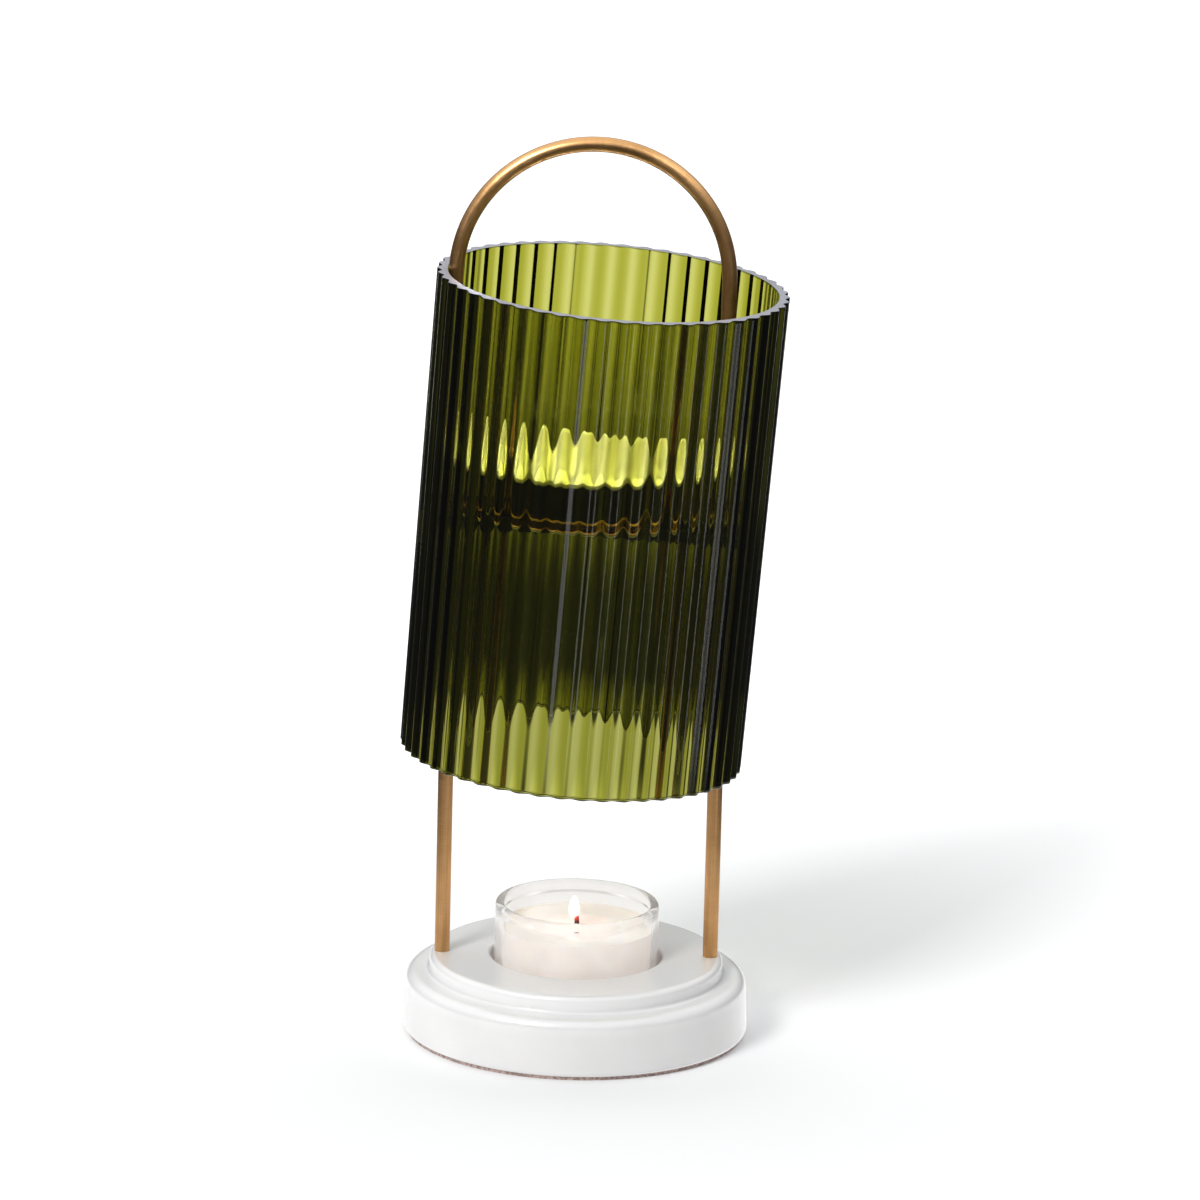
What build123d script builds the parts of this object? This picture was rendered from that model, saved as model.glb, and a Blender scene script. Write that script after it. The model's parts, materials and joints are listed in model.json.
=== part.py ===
# Tealight wax warmer: a ceramic base with a candle well, a bent brass hoop, a level wax dish
# held on the hoop's legs, and a reeded glass shade that leans on a pivot below the dish.
# Millimetres, +Z up, origin at the middle of the underside, hoop in the XZ plane.
import os
from math import acos, atan2, cos, degrees, hypot, pi, radians, sin

from build123d import *

os.makedirs("parts", exist_ok=True)

# shared allowances
overrun = 2.0  # how far a cutter runs past the face it opens
slip = 0.05  # radial room round pins, screws and sleeves
bond = 0.05  # room for the adhesive on each face of a bonded piece

# base
pad_thick = 1.0
base_radius = 50.6
lower_height = 17.0
step_width = 7.6
raised_height = 5.1
base_draft = 0.8  # how much narrower the lower block is at its shoulder
shoulder_round = 3.2
crown_round = 1.8
step_round = 1.0
foot_round = 1.4
pad_inset = 1.4
base_wall = 7.0
well_depth = 11.0
well_gap = 1.1
well_round = 0.9
relief_depth = 9.0
boss_radius = 7.0
hollow_bevel = 2.0

# hoop
rod_radius = 2.2
leg_edge = 3.7
spring_height = 225.9
socket_depth = 5.0
socket_gap = 0.12
rod_edge = 0.3

# fasteners that hold the legs from below
leg_screw_radius = 1.25
leg_thread_depth = 7.0
leg_bore_spare = 1.0
head_radius = 2.3
head_height = 1.8
hex_radius = 0.9
hex_depth = 1.0
washer_radius = 3.4
washer_thick = 0.5
gasket_radius = 4.0
gasket_thick = 1.0
recess_radius = 5.0
recess_depth = 6.0

# wax dish
dish_rim_height = 172.5
dish_leg_gap = 4.6
dish_side_height = 10.9
dish_flare = 0.9
dish_wall = 2.4
dish_depth = 11.0
dish_floor_round = 4.0
spigot_inset = 2.7
spigot_height = 5.1
spigot_round = 3.0
dish_foot_wall = 4.6
dish_foot_depth = 1.7
dish_lip = 0.9

# ring that holds the dish level, and the sleeves it stands on
ring_gap = 0.3
ring_wall = 2.0
ring_height = 3.2
ring_edge = 0.5
arm_width = 5.0
eye_wall = 1.8
collar_wall = 1.4
collar_height = 3.0

# cross bar clamped between the legs below the dish
bar_width = 5.0
bar_height = 3.0
bar_edge = 0.4
grub_radius = 1.0
grub_sink = 0.15
grub_hex_radius = 0.5
grub_hex_depth = 0.7

# pivot through the middle of the bar
pin_radius = 1.25
pin_head_radius = 2.0
pin_head_height = 1.1
pin_edge = 0.4
pin_tail = 0.6
pivot_eye_wall = 1.3
pivot_washer_thick = 0.5
clip_radius = 2.1
clip_thick = 0.5
clip_sink = 0.35
clip_mouth = 1.5

# carrier that swings on the pivot and that the glass is bonded to
rail_gap = 0.75
rail_thick = 1.6
rail_height = 3.0
tab_border = 1.2
tab_thick = 1.4
tab_drop = 8.0
shade_pad_thick = 0.8
swing_room = 0.6

# reeded glass shade
reed_count = 50
reed_depth = 1.18
shade_leg_room = 6.4
shade_taper = 1.1
shade_wall = 3.1
shade_above_pivot = 72.76
shade_below_pivot = 68.44
pivot_offset = 1.343
stop_gap = 0.28

# tealight
cup_radius = 24.0
cup_height = 26.9
cup_wall = 2.0
cup_floor = 3.0
cup_corner = 3.0
cup_bead = 1.35
wax_below_rim = 7.7
wax_meniscus = 0.6
wick_radius = 0.7
wick_above_wax = 3.6
wick_bend_radius = 5.0
wick_bend_degrees = 24.0
tab_disc_radius = 6.0
tab_disc_thick = 0.5
tab_neck_height = 3.0
tab_neck_wall = 0.5

# radii that follow from the sizes above
raised_radius = base_radius - step_width
leg_offset = raised_radius - leg_edge
dish_rim_radius = leg_offset - rod_radius - dish_leg_gap
spigot_radius = dish_rim_radius - spigot_inset
shade_top_radius = leg_offset + rod_radius + shade_leg_room + shade_wall
shade_bottom_radius = shade_top_radius - shade_taper
well_radius = cup_radius + well_gap
ring_inner = spigot_radius + ring_gap
ring_outer = ring_inner + ring_wall
eye_radius = rod_radius + slip + eye_wall
collar_radius = rod_radius + slip + collar_wall
rail_inner = collar_radius + rail_gap
rail_outer = rail_inner + rail_thick
boss_end = rail_inner - pivot_washer_thick - 2 * slip
pivot_eye_radius = pin_radius + slip + pivot_eye_wall

# levels that follow from the sizes above
step_level = pad_thick + lower_height
base_top = step_level + raised_height
well_floor = base_top - well_depth
leg_foot = base_top - socket_depth
screw_seat = pad_thick + recess_depth
dish_seat = dish_rim_height - dish_side_height
dish_foot = dish_seat - spigot_height
ring_bottom = dish_seat - ring_height
collar_bottom = ring_bottom - collar_height
cup_rim = well_floor + cup_height
wax_top = cup_rim - wax_below_rim

# the glass leans until its inner top edge is stop_gap away from the left leg:
# (pivot_offset - inner radius) * cos(lean) + shade_above_pivot * sin(lean) = -leg_side
leg_side = leg_offset + rod_radius + stop_gap
inner_reach = pivot_offset - (shade_top_radius - shade_wall)
lean = atan2(shade_above_pivot, inner_reach) - acos(-leg_side / hypot(inner_reach, shade_above_pivot))

# the pivot is as high as the swinging rails allow: below the dish's foot and below the ring's arms
under_dish = dish_foot - spigot_radius * sin(lean)
under_ring = ring_bottom - shade_bottom_radius * sin(lean)
pivot_height = min(under_dish, under_ring) - rail_height / 2 - swing_room
bar_low = pivot_height - bar_height / 2

# the shade's own frame has its axis at x = 0 and the pivot at x = -pivot_offset
leaning = Pos(0, 0, pivot_height) * Rot(0, degrees(lean), 0) * Pos(pivot_offset, 0, 0)


# a solid turned about Z from (radius, height) corners; rounds and bevels give {corner index: size}
def turned(corners, rounds=None, bevels=None, sweep=360.0, start=0.0):
    section = make_face(Polyline(*corners, close=True))
    for finish, sizes in ((fillet, rounds), (chamfer, bevels)):
        for index, size in (sizes or {}).items():
            corner = Vector(corners[index][0], corners[index][1], 0)
            section = finish(section.vertices().sort_by_distance(corner)[0], size)
    return Rot(0, 0, start) * revolve(Plane.XZ * section, Axis.Z, sweep)


# an upright cylinder from one level to another
def post(radius, low, high, x=0.0, y=0.0):
    return Pos(x, y, low) * Cylinder(radius, high - low, align=(Align.CENTER, Align.CENTER, Align.MIN))


# a cylinder along Y from one depth to another
def cross_pin(radius, near, far, x=0.0, z=0.0):
    middle = (near + far) / 2
    return Pos(x, middle, z) * Rot(90, 0, 0) * Cylinder(radius, abs(far - near))


# a disc with a hole, as washers and gaskets are
def flat_ring(outer, inner, low, high, x=0.0):
    return post(outer, low, high, x) - post(inner, low - overrun, high + overrun, x)


# the inner radius of the glass at a height in the shade's own frame
def glass_inner(height):
    share = (height + shade_below_pivot) / (shade_above_pivot + shade_below_pivot)
    outer = shade_bottom_radius + (shade_top_radius - shade_bottom_radius) * share
    return outer - shade_wall


def make_base():
    body = turned(
        [
            (0, pad_thick),
            (base_radius, pad_thick),
            (base_radius - base_draft, step_level),
            (raised_radius, step_level),
            (raised_radius, base_top),
            (well_radius, base_top),
            (well_radius, well_floor),
            (0, well_floor),
        ],
        {1: foot_round, 2: shoulder_round, 3: step_round, 4: crown_round, 5: well_round},
        {6: cup_corner / 2},
    )
    # the underside is hollowed between the foot ring and the wall of the well
    hollow_inner = well_radius + base_wall / 2
    hollow_outer = base_radius - base_wall
    ceiling = pad_thick + relief_depth
    hollow = turned(
        [
            (hollow_inner, pad_thick - overrun),
            (hollow_outer, pad_thick - overrun),
            (hollow_outer, ceiling),
            (hollow_inner, ceiling),
        ],
        bevels={2: hollow_bevel, 3: hollow_bevel},
    )
    well_hollow = turned(
        [
            (0, pad_thick - overrun),
            (well_radius - base_wall / 2, pad_thick - overrun),
            (well_radius - base_wall / 2, well_floor - base_wall / 2),
            (0, well_floor - base_wall / 2),
        ],
        bevels={2: hollow_bevel},
    )
    for side in (-1, 1):
        hollow -= post(boss_radius, pad_thick - overrun, ceiling + overrun, side * leg_offset)
    body = body - hollow - well_hollow
    for side in (-1, 1):
        x = side * leg_offset
        body -= post(recess_radius, pad_thick - overrun, screw_seat, x)
        body -= post(leg_screw_radius + 4 * slip, screw_seat - overrun, leg_foot + overrun, x)
        body -= post(rod_radius + socket_gap, leg_foot, base_top + overrun, x)
    return body


def make_base_pad():
    return post(base_radius - pad_inset, 0, pad_thick)


# one rod bent into an arch, its two feet drilled and tapped
def make_hoop():
    left = Line((-leg_offset, 0, leg_foot), (-leg_offset, 0, spring_height))
    arch = ThreePointArc(left @ 1, (0, 0, spring_height + leg_offset), (leg_offset, 0, spring_height))
    right = Line(arch @ 1, (leg_offset, 0, leg_foot))
    start = Plane(origin=left @ 0, z_dir=left % 0)
    rod = sweep(start * Circle(rod_radius), path=Wire([left, arch, right]))
    feet = rod.faces().filter_by(Axis.Z).edges()
    rod = chamfer(feet, rod_edge)
    bore_top = leg_foot + leg_thread_depth + leg_bore_spare
    for side in (-1, 1):
        rod -= post(leg_screw_radius + slip, leg_foot - overrun, bore_top, side * leg_offset)
    return rod


def make_leg_screws():
    screws = []
    head_top = screw_seat - gasket_thick - washer_thick
    head_bottom = head_top - head_height
    for side in (-1, 1):
        x = side * leg_offset
        screw = post(head_radius, head_bottom, head_top, x)
        screw = fillet(screw.edges().filter_by(GeomType.CIRCLE).sort_by(Axis.Z)[0], head_height / 3)
        screw += post(leg_screw_radius, head_top, leg_foot + leg_thread_depth, x)
        key = extrude(RegularPolygon(hex_radius, 6), head_height)
        screws.append(screw - Pos(x, 0, head_bottom + hex_depth - head_height) * key)
    return Compound(screws)


def make_leg_washers():
    top = screw_seat - gasket_thick
    hole = leg_screw_radius + 2 * slip
    rings = [flat_ring(washer_radius, hole, top - washer_thick, top, side * leg_offset) for side in (-1, 1)]
    return Compound(rings)


def make_leg_gaskets():
    hole = leg_screw_radius + slip
    low = screw_seat - gasket_thick
    rings = [flat_ring(gasket_radius, hole, low, screw_seat, side * leg_offset) for side in (-1, 1)]
    return Compound(rings)


# shallow dish with a flared side, a spigot that drops into the ring and a hollowed foot
def make_wax_dish():
    floor_level = dish_rim_height - dish_depth
    side_radius = dish_rim_radius - dish_flare
    inner_floor_radius = side_radius - dish_wall
    return turned(
        [
            (0, dish_foot + dish_foot_depth),
            (spigot_radius - dish_foot_wall, dish_foot + dish_foot_depth),
            (spigot_radius - dish_foot_wall, dish_foot),
            (spigot_radius, dish_foot),
            (spigot_radius, dish_seat),
            (side_radius, dish_seat),
            (dish_rim_radius, dish_rim_height),
            (dish_rim_radius - dish_wall, dish_rim_height),
            (inner_floor_radius, floor_level),
            (0, floor_level),
        ],
        {3: spigot_round, 6: dish_lip, 7: dish_lip, 8: dish_floor_round},
    )


# level ring with an eyed arm to each leg
def make_dish_ring():
    ring = turned(
        [
            (ring_inner, ring_bottom),
            (ring_outer, ring_bottom),
            (ring_outer, dish_seat),
            (ring_inner, dish_seat),
        ],
        bevels={1: ring_edge, 2: ring_edge},
    )
    arm_start = ring_inner + ring_wall / 2
    for side in (-1, 1):
        reach = leg_offset - arm_start
        middle = side * (arm_start + leg_offset) / 2
        ring += Pos(middle, 0, ring_bottom + ring_height / 2) * Box(reach, arm_width, ring_height)
        ring += post(eye_radius, ring_bottom, dish_seat, side * leg_offset)
    for side in (-1, 1):
        ring -= post(rod_radius + slip, ring_bottom - overrun, dish_seat + overrun, side * leg_offset)
    return ring


# plain sleeve on a leg, between the eye of the cross bar and the eye of the ring
def make_leg_collar(side):
    return flat_ring(collar_radius, rod_radius + slip, collar_bottom, ring_bottom, side * leg_offset)


# the level at which a grub screw clamps each eye of the cross bar
def grub_level():
    return (bar_low + collar_bottom) / 2


# flat bar with an eye for each leg, and a boss across its middle for the pivot pin
def make_cross_bar():
    bar = Pos(0, 0, pivot_height) * Box(2 * leg_offset, bar_width, bar_height)
    bar = chamfer(bar.edges().filter_by(Axis.X), bar_edge)
    bar += cross_pin(pivot_eye_radius, -boss_end, boss_end, 0, pivot_height)
    for side in (-1, 1):
        bar += post(collar_radius, bar_low, collar_bottom, side * leg_offset)
    for side in (-1, 1):
        x = side * leg_offset
        bar -= post(rod_radius + slip, bar_low - overrun, collar_bottom + overrun, x)
        bar -= cross_pin(grub_radius + slip, 0, collar_radius + overrun, x, grub_level())
    return bar - cross_pin(pin_radius + slip, -boss_end - overrun, boss_end + overrun, 0, pivot_height)


def make_bar_screws():
    screws = []
    near = rod_radius + slip
    far = collar_radius - grub_sink
    for side in (-1, 1):
        x = side * leg_offset
        screw = cross_pin(grub_radius, near, far, x, grub_level())
        key = extrude(RegularPolygon(grub_hex_radius, 6), grub_hex_depth + overrun)
        screws.append(screw - Pos(x, far - grub_hex_depth, grub_level()) * Rot(-90, 0, 0) * key)
    return Compound(screws)


# headed pin from front to back through the rails and the bar, grooved at the back for its clip
def make_pivot_pin():
    under_head = rail_outer + slip
    head = cross_pin(pin_head_radius, -under_head - pin_head_height, -under_head, 0, pivot_height)
    head = chamfer(head.edges().sort_by(Axis.Y)[0], pin_edge)
    tail = under_head + clip_thick + pin_tail
    pin = head + cross_pin(pin_radius, -under_head, tail, 0, pivot_height)
    groove = cross_pin(pin_head_radius, under_head, under_head + clip_thick, 0, pivot_height)
    groove -= cross_pin(pin_radius - clip_sink, under_head - overrun, tail, 0, pivot_height)
    return pin - groove


# spring clip pushed up into the groove, open below
def make_pivot_clip():
    near = rail_outer + slip
    far = near + clip_thick
    clip = cross_pin(clip_radius, near, far, 0, pivot_height)
    clip -= cross_pin(pin_radius - clip_sink, near - overrun, far + overrun, 0, pivot_height)
    drop = clip_radius + overrun
    mouth = Box(clip_mouth, clip_thick + overrun, drop)
    return clip - Pos(0, (near + far) / 2, pivot_height - drop / 2) * mouth


def make_pivot_washers():
    washers = []
    for side in (-1, 1):
        near = side * (boss_end + slip)
        far = side * (boss_end + slip + pivot_washer_thick)
        hole = cross_pin(pin_radius + slip, near - side * overrun, far + side * overrun, 0, pivot_height)
        washers.append(cross_pin(pivot_eye_radius, near, far, 0, pivot_height) - hole)
    return Compound(washers)


# two rails that pass in front of and behind the legs, joined at each end by a tab on the glass
def make_shade_carrier():
    half = rail_height / 2
    tab_outer = glass_inner(-tab_drop) - 2 * bond - shade_pad_thick
    tab_middle = tab_outer - tab_thick / 2
    carrier = None
    for side in (-1, 1):
        middle = side * (rail_inner + rail_outer) / 2
        rail = Pos(0, middle, 0) * Box(2 * tab_outer, rail_thick, rail_height)
        rail += cross_pin(pivot_eye_radius, side * rail_inner, side * rail_outer, -pivot_offset)
        carrier = rail if carrier is None else carrier + rail
    carrier -= flat_ring(tab_outer + rail_outer, tab_middle, -half - overrun, half + overrun)
    arc = tab_degrees()
    for side in (-1, 1):
        carrier += turned(
            [
                (tab_outer - tab_thick, -tab_drop),
                (tab_outer, -tab_drop),
                (tab_outer, half),
                (tab_outer - tab_thick, half),
            ],
            sweep=arc,
            start=tab_start(side),
        )
    carrier -= cross_pin(pin_radius + slip, -rail_outer - overrun, rail_outer + overrun, -pivot_offset)
    return leaning * carrier


# the arc, in degrees, that a tab covers on the inside of the glass, and where it starts
def tab_degrees():
    return degrees(2 * (rail_outer + tab_border) / glass_inner(0))


def tab_start(side):
    return -tab_degrees() / 2 if side > 0 else 180 - tab_degrees() / 2


# silicone pad between a tab of the carrier and the smooth inside of the glass
def make_shade_pad(side):
    inner = glass_inner(-tab_drop) - bond - shade_pad_thick
    low = -tab_drop
    high = rail_height / 2
    pad = turned(
        [
            (inner, low),
            (glass_inner(low) - bond, low),
            (glass_inner(high) - bond, high),
            (inner, high),
        ],
        sweep=tab_degrees(),
        start=tab_start(side),
    )
    return leaning * pad


# closed outline of rounded reeds: each is an arc from valley to valley through its crest
def reeded_face(crest_radius, height):
    valley_radius = crest_radius - reed_depth
    pitch = 2 * pi / reed_count
    edges = []
    for reed in range(reed_count):
        low = reed * pitch
        crest = low + pitch / 2
        high = low + pitch
        edges.append(
            ThreePointArc(
                (valley_radius * cos(low), valley_radius * sin(low), height),
                (crest_radius * cos(crest), crest_radius * sin(crest), height),
                (valley_radius * cos(high), valley_radius * sin(high), height),
            )
        )
    return Face(Wire(edges))


# tapered tube of glass, reeded outside, smooth inside, open and ground flat at both ends
def make_glass_shade():
    bottom = reeded_face(shade_bottom_radius, -shade_below_pivot)
    top = reeded_face(shade_top_radius, shade_above_pivot)
    glass = loft([bottom, top], ruled=True)
    length = shade_above_pivot + shade_below_pivot
    bore = Cone(
        shade_bottom_radius - shade_wall,
        shade_top_radius - shade_wall,
        length,
        align=(Align.CENTER, Align.CENTER, Align.MIN),
    )
    glass -= Pos(0, 0, -shade_below_pivot) * bore
    return leaning * glass


# clear glass cup with a thick rolled rim
def make_tealight_cup():
    wall_inner = cup_radius - cup_wall
    bead_inner = cup_radius - 2 * cup_bead
    bead_low = cup_rim - 2 * cup_bead
    cup = turned(
        [
            (0, well_floor),
            (cup_radius, well_floor),
            (cup_radius, cup_rim),
            (bead_inner, cup_rim),
            (bead_inner, bead_low),
            (wall_inner, bead_low - cup_bead),
            (wall_inner, well_floor + cup_floor),
            (0, well_floor + cup_floor),
        ],
        {1: cup_corner, 2: 0.96 * cup_bead, 3: 0.96 * cup_bead},
        {6: cup_corner / 2},
    )
    return cup


# the wick's middle line: upright, then bending towards -x above the wax
def wick_path(start):
    bend_low = wax_top + wick_above_wax - wick_bend_radius * radians(wick_bend_degrees)
    stem = Line((0, 0, start), (0, 0, bend_low))
    angle = radians(wick_bend_degrees)
    end = (-wick_bend_radius * (1 - cos(angle)), 0, bend_low + wick_bend_radius * sin(angle))
    return Wire([stem, TangentArc((0, 0, bend_low), end, tangent=(0, 0, 1))])


def make_wick():
    start = well_floor + cup_floor + bond + tab_disc_thick + bond
    return sweep(Pos(0, 0, start) * Circle(wick_radius), path=wick_path(start))


# pressed metal foot of the wick: a flat disc with a short neck
def make_wick_tab():
    floor_level = well_floor + cup_floor + bond
    neck_inner = wick_radius + slip
    return turned(
        [
            (0, floor_level),
            (tab_disc_radius, floor_level),
            (tab_disc_radius, floor_level + tab_disc_thick),
            (neck_inner + tab_neck_wall, floor_level + tab_disc_thick),
            (neck_inner + tab_neck_wall, floor_level + tab_neck_height),
            (neck_inner, floor_level + tab_neck_height),
            (neck_inner, floor_level + tab_disc_thick),
            (0, floor_level + tab_disc_thick),
        ],
        bevels={3: slip},
    )


# wax poured round the wick and its foot, climbing a little at the glass
def make_candle_wax():
    low = well_floor + cup_floor + bond
    outer = cup_radius - cup_wall - bond
    neck = wick_radius + slip + tab_neck_wall + bond
    wax = turned(
        [
            (0, low),
            (outer, low),
            (outer, wax_top + wax_meniscus),
            (outer - 2 * wax_meniscus, wax_top),
            (0, wax_top),
        ],
        {3: wax_meniscus},
        {1: cup_corner / 2},
    )
    wax -= post(tab_disc_radius + bond, low - overrun, low + tab_disc_thick + bond)
    wax -= post(neck, low, low + tab_neck_height + bond)
    wax -= post(wick_radius + bond, low, wax_top + overrun)
    return wax


nodes = {
    "base": make_base(),
    "base_pad": make_base_pad(),
    "hoop": make_hoop(),
    "leg_screws": make_leg_screws(),
    "leg_washers": make_leg_washers(),
    "leg_gaskets": make_leg_gaskets(),
    "dish_ring": make_dish_ring(),
    "leg_collar_left": make_leg_collar(-1),
    "leg_collar_right": make_leg_collar(1),
    "cross_bar": make_cross_bar(),
    "bar_screws": make_bar_screws(),
    "pivot_pin": make_pivot_pin(),
    "pivot_clip": make_pivot_clip(),
    "pivot_washers": make_pivot_washers(),
    "glass_shade": make_glass_shade(),
    "shade_carrier": make_shade_carrier(),
    "shade_pad_left": make_shade_pad(-1),
    "shade_pad_right": make_shade_pad(1),
    "wax_dish": make_wax_dish(),
    "tealight_cup": make_tealight_cup(),
    "candle_wax": make_candle_wax(),
    "wick": make_wick(),
    "wick_tab": make_wick_tab(),
}
for name, shape in nodes.items():
    export_step(shape, f"parts/{name}.step")
print("lean of the glass, degrees:", round(degrees(lean), 3), "pivot height:", round(pivot_height, 3))
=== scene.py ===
import json
import bpy
import numpy as np
from mathutils import Matrix, Vector


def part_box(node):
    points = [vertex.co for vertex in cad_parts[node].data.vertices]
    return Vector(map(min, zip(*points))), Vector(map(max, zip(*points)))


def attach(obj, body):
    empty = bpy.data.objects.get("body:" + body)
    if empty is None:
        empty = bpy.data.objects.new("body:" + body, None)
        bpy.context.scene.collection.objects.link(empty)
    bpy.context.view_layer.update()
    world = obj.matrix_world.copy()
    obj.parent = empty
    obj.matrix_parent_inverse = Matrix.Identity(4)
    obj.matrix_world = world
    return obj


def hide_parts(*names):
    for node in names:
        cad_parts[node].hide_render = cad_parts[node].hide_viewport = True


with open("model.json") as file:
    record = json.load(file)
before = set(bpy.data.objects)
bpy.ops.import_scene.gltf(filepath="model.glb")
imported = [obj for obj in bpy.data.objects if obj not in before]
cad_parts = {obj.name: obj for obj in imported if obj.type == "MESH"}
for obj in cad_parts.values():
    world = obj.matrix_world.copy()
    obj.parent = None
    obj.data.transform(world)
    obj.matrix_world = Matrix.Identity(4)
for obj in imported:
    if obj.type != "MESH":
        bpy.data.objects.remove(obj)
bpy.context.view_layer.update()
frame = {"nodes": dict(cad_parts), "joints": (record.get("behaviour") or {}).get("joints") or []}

print("tealight wax warmer: frame loaded")

mm = 0.001
tau = 2 * np.pi


# a socket of a shader tree: arithmetic on it adds Math nodes
class Sock:
    def __init__(self, tree, link):
        self.tree, self.link = tree, link

    def math(self, operation, first, second):
        return self.tree.add("ShaderNodeMath", {"operation": operation}, {0: first, 1: second})

    def __add__(self, other): return self.math("ADD", self, other)
    def __radd__(self, other): return self.math("ADD", other, self)
    def __sub__(self, other): return self.math("SUBTRACT", self, other)
    def __rsub__(self, other): return self.math("SUBTRACT", other, self)
    def __mul__(self, other): return self.math("MULTIPLY", self, other)
    def __rmul__(self, other): return self.math("MULTIPLY", other, self)
    def __truediv__(self, other): return self.math("DIVIDE", self, other)
    def __rtruediv__(self, other): return self.math("DIVIDE", other, self)
    def __pow__(self, other): return self.math("POWER", self, other)
    def __rpow__(self, other): return self.math("POWER", other, self)

    def ramp(self, low, high, toLow=0.0, toHigh=1.0):
        values = {"Value": self, "From Min": low, "From Max": high, "To Min": toLow, "To Max": toHigh}
        return self.tree.add("ShaderNodeMapRange", {"interpolation_type": "SMOOTHSTEP"}, values, "Result")

    def blend(self, first, second):
        values = {"Factor": self, 6: first, 7: second}  # 6 and 7 are the colours A and B
        return self.tree.add("ShaderNodeMix", {"data_type": "RGBA"}, values, 2)


# a shader tree with one method that adds any node
class Tree:
    def __init__(self, owner):
        owner.use_nodes = True
        self.nodes, self.links = owner.node_tree.nodes, owner.node_tree.links
        self.nodes.clear()

    def add(self, kind, settings=None, values=None, output=0):
        node = self.nodes.new(kind)
        for key, value in (settings or {}).items():
            setattr(node, key, value)
        for key, value in (values or {}).items():
            if isinstance(value, Sock):
                self.links.new(value.link, node.inputs[key])
            else:
                node.inputs[key].default_value = value
        return Sock(self, node.outputs[output])

    def at(self, output="Object"):
        return self.add("ShaderNodeTexCoord", output=output)

    def stretched(self, where, scale):
        return self.add("ShaderNodeMapping", None, {"Vector": where, "Scale": scale})

    def noise(self, where, scale, detail=2.0, rough=0.5):
        values = {"Vector": where, "Scale": scale, "Detail": detail, "Roughness": rough}
        return self.add("ShaderNodeTexNoise", None, values)

    def parts(self, where):
        node = self.add("ShaderNodeSeparateXYZ", None, {"Vector": where}).link.node
        return [Sock(self, node.outputs[i]) for i in range(3)]

    def bump(self, height, distance):
        return self.add("ShaderNodeBump", None, {"Height": height, "Distance": distance})

    def principled(self, values):
        return self.add("ShaderNodeBsdfPrincipled", None, values)

    # joins shaders to the output of a material or of the world
    def joinTo(self, kind, **shaders):
        node = self.nodes.new(kind)
        for key, shader in shaders.items():
            self.links.new(shader.link, node.inputs[key])


def material(name):
    made = bpy.data.materials.new(name)
    return made, Tree(made)


def grey(value):
    return (value, value, value, 1.0)


# surfaces

# quads over a grid of points; wrapU and wrapV join the last row or column to the first
def gridFaces(rows, columns, wrapU, wrapV):
    i, j = np.meshgrid(np.arange(rows - (not wrapU)), np.arange(columns - (not wrapV)), indexing="ij")
    iNext, jNext = (i + 1) % rows, (j + 1) % columns
    corners = [i * columns + j, iNext * columns + j, iNext * columns + jNext, i * columns + jNext]
    return np.stack([c.ravel() for c in corners], 1)


def meshPiece(name, points, faces, look, body, replaces=(), sharpAngle=40.0, uv=None):
    mesh = bpy.data.meshes.new(name)
    mesh.from_pydata(points.tolist(), [], faces)
    mesh.update()
    if uv is not None:
        layer = mesh.uv_layers.new(name="along")
        index = np.zeros(len(mesh.loops), int)
        mesh.loops.foreach_get("vertex_index", index)
        layer.data.foreach_set("uv", uv[index].ravel())
    mesh.shade_smooth()
    mesh.set_sharp_from_angle(angle=np.radians(sharpAngle))
    mesh.materials.append(look)
    piece = bpy.data.objects.new(name, mesh)
    bpy.context.scene.collection.objects.link(piece)
    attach(piece, body)
    if replaces:
        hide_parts(*replaces)


# a round has this many steps, and its support points lie at most this share of its size away
rounding = {"steps": 10, "support": 0.3}


# corners (radius, height) with rounds {index: size}: each round is an arc that touches both sides,
# with one more point just before and after it, so that the flats stay flat when smoothed
def rounded(corners, rounds):
    corners = np.asarray(corners, float)
    toNext = np.roll(corners, -1, 0) - corners
    length = np.hypot(*toNext.T)
    toNext = toNext / length[:, None]
    half = np.arccos(np.clip((-np.roll(toNext, 1, 0) * toNext).sum(1), -1, 1)) / 2
    size = np.array([rounds.get(k, 0.0) for k in range(len(corners))])
    reach = size / np.tan(half)
    spare = length - reach - np.roll(reach, -1)
    out = []
    for k, corner in enumerate(corners):
        if not size[k]:
            out.append(corner[None])
            continue
        before, after = -toNext[k - 1], toNext[k]
        middle = (before + after) / np.hypot(*(before + after)) * size[k] / np.sin(half[k])
        first, last = before * reach[k] - middle, after * reach[k] - middle
        turn = np.arctan2(first[0] * last[1] - first[1] * last[0], first @ last)
        angle = np.linspace(0, turn, rounding["steps"] + 1)
        x = first[0] * np.cos(angle) - first[1] * np.sin(angle)
        y = first[0] * np.sin(angle) + first[1] * np.cos(angle)
        lead = reach[k] + min(rounding["support"] * size[k], rounding["support"] * spare[k - 1])
        trail = reach[k] + min(rounding["support"] * size[k], rounding["support"] * spare[k])
        arc = corner + middle + np.stack([x, y], 1)
        out.append(np.concatenate([[corner + before * lead], arc, [corner + after * trail]]))
    return np.concatenate(out)


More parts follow.
